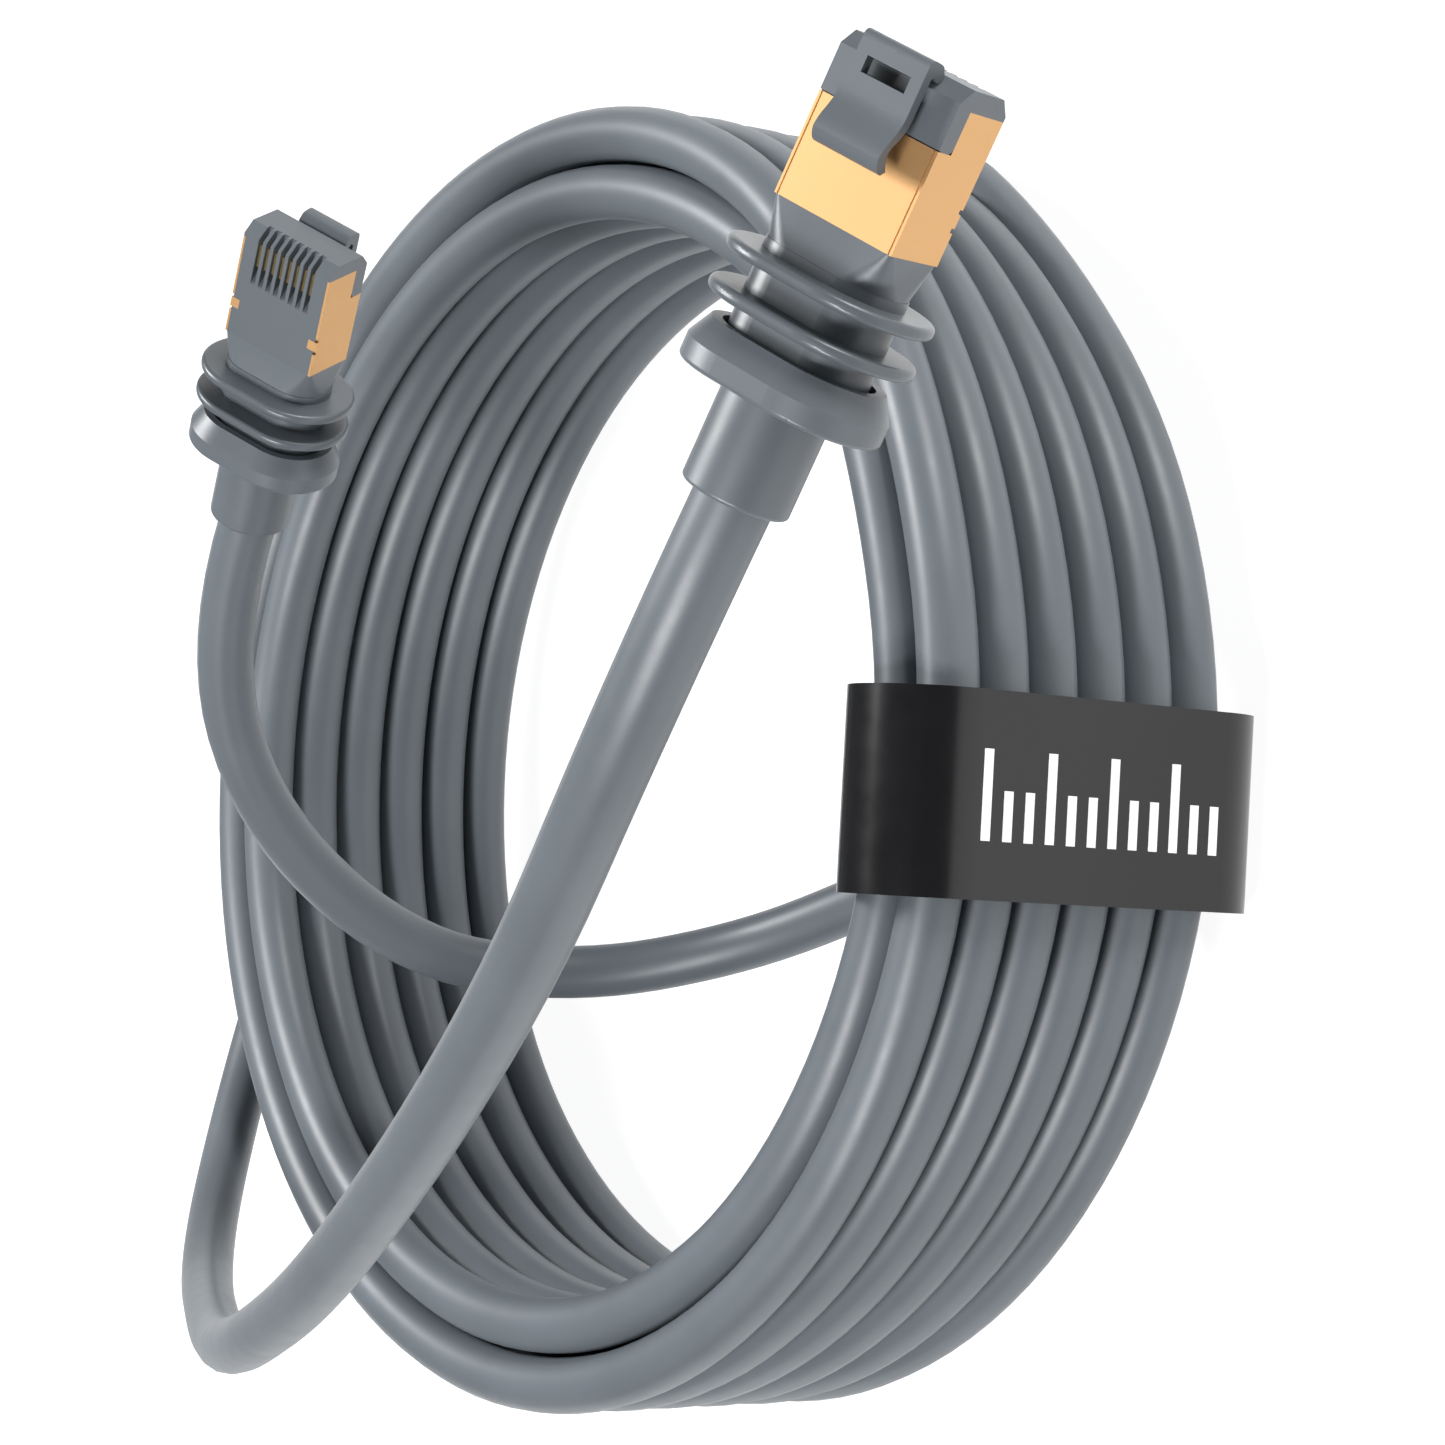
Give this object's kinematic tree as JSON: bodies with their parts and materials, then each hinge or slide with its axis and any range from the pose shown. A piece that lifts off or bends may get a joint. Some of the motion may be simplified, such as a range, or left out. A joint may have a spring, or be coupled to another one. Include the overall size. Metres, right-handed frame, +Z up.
{
  "type": "ethernet patch cable",
  "caption": "Coiled outdoor ethernet patch cable with a sealed, shielded latching plug on each end and a strap band round its turns.",
  "frame": {"origin": "middle of the whole part’s base: the middle of its box in X and Y, at the surface it lies on", "axes": "+Z up, along the coil’s axis; +X from the coil’s axis towards the band and the higher plug; +Y across, the way both plugs mainly point"},
  "size_m": [0.2438, 0.1594, 0.1242],
  "materials": {
    "jacket": "satin, slightly soft",
    "boot": "satin moulded",
    "seal_rubber": "satin rubber",
    "plug_plastic": "satin moulded",
    "clear_plastic": "frosted",
    "contact_gold": "polished gold plating",
    "shield_gold": "brushed gold plating",
    "ferrule": "drawn metal",
    "braid": "woven wire",
    "wire_blue": "satin",
    "wire_orange": "satin",
    "wire_green": "satin",
    "wire_brown": "satin",
    "band": "glossy smooth",
    "print": "flat printed ink"
  },
  "bodies": {
    "cable": {"band": "band", "band_marks": "print", "braid_a": "braid", "braid_b": "braid", "coil": "jacket", "collar_a": "boot", "collar_b": "boot", "contact_blades_a": "contact_gold", "contact_blades_b": "contact_gold", "ferrule_a": "ferrule", "ferrule_b": "ferrule", "hood_a": "boot", "hood_b": "boot", "jacket_end_a": "jacket", "jacket_end_b": "jacket", "load_bar_a": "clear_plastic", "load_bar_b": "clear_plastic", "plug_housing_a": "plug_plastic", "plug_housing_b": "plug_plastic", "seal_boot_a": "seal_rubber", "seal_boot_b": "seal_rubber", "shield_shell_a": "shield_gold", "shield_shell_b": "shield_gold", "sleeve_a": "boot", "sleeve_b": "boot", "tail_a": "jacket", "tail_b": "jacket", "wire_pair_blue_a": "wire_blue", "wire_pair_blue_b": "wire_blue", "wire_pair_brown_a": "wire_brown", "wire_pair_brown_b": "wire_brown", "wire_pair_green_a": "wire_green", "wire_pair_green_b": "wire_green", "wire_pair_orange_a": "wire_orange", "wire_pair_orange_b": "wire_orange"},
    "latch_a": {"latch_a": "plug_plastic"},
    "latch_b": {"latch_b": "plug_plastic"}
  },
  "joints": [
    {"name": "latch_a_press", "type": "hinge", "parent": "cable", "child": "latch_a", "pos_m": [-0.01497, 0.05106, 0.08985], "axis": [0.7432, -0.4415, -0.5028], "range_deg": [0, 6], "stiffness_Nm_per_rad": 0.06},
    {"name": "latch_b_press", "type": "hinge", "parent": "cable", "child": "latch_b", "pos_m": [0.11729, 0.04477, 0.11709], "axis": [-0.8289, 0.4589, 0.32], "range_deg": [0, 6], "stiffness_Nm_per_rad": 0.06}
  ]
}
